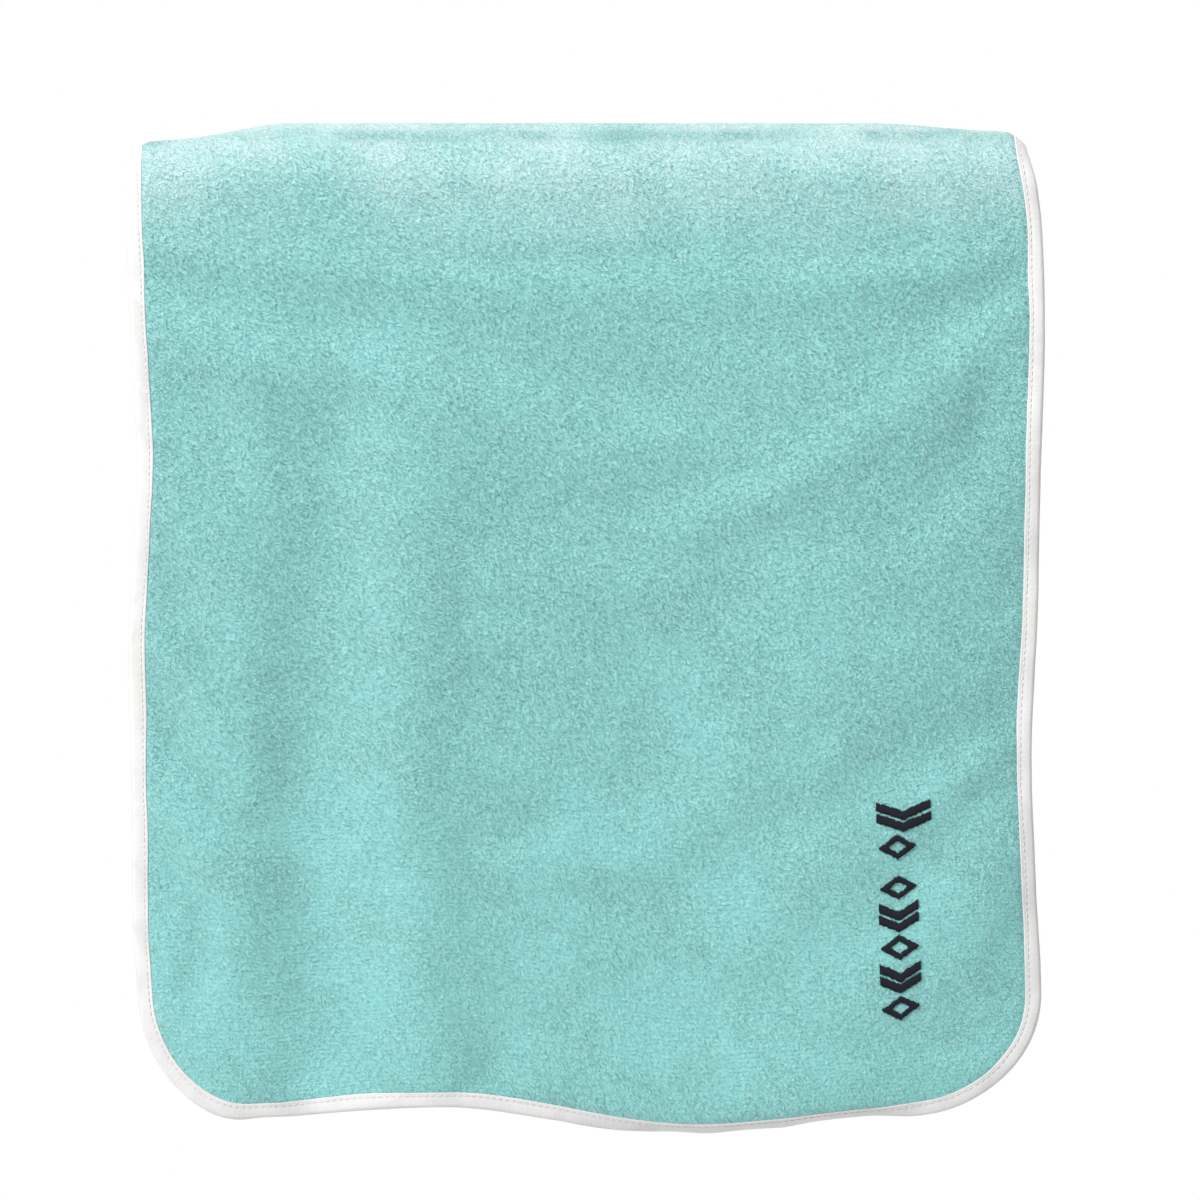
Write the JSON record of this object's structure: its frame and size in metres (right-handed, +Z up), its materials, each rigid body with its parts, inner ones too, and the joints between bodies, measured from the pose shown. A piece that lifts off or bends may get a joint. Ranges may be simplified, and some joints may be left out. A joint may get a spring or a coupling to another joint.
{
  "type": "quick dry towel",
  "caption": "Terry towel with rounded, tape-bound edges and an embroidered motif, hung folded over a round rail.",
  "frame": {"origin": "on the axis of the rail that the towel hangs over, midway across the towel", "axes": "+X along the rail, to the viewer's right; +Z up; the front flap, which carries the motif, faces -Y"},
  "size_m": [0.455, 0.0742, 0.5021],
  "materials": {
    "terry": "looped microfibre terry, aqua",
    "binding_tape": "smooth folded tape, white",
    "sewing_thread": "polyester thread, white",
    "embroidery": "satin-stitched thread, navy",
    "care_label": "blank satin ribbon, white"
  },
  "bodies": {
    "held_cloth": {"terry_crown_and_back_flap": "terry", "binding_tape_back": "binding_tape", "needle_thread_back": "sewing_thread", "bobbin_thread_back": "sewing_thread", "care_label": "care_label"},
    "front_flap": {"terry_front_flap": "terry", "binding_tape_front": "binding_tape", "needle_thread_front": "sewing_thread", "bobbin_thread_front": "sewing_thread", "embroidered_chevron_1": "embroidery", "embroidered_chevron_2": "embroidery", "embroidered_chevron_3": "embroidery", "embroidered_chevron_4": "embroidery", "embroidered_chevron_5": "embroidery", "embroidered_chevron_6": "embroidery", "embroidered_diamond_1": "embroidery", "embroidered_diamond_2": "embroidery", "embroidered_diamond_3": "embroidery", "embroidered_diamond_4": "embroidery"}
  },
  "joints": [
    {"name": "front_flap_lift", "type": "hinge", "parent": "held_cloth", "child": "front_flap", "pos_m": [0, -0.02121, 0.02121], "axis": [-1, 0, 0], "range_deg": [0, 60]}
  ]
}
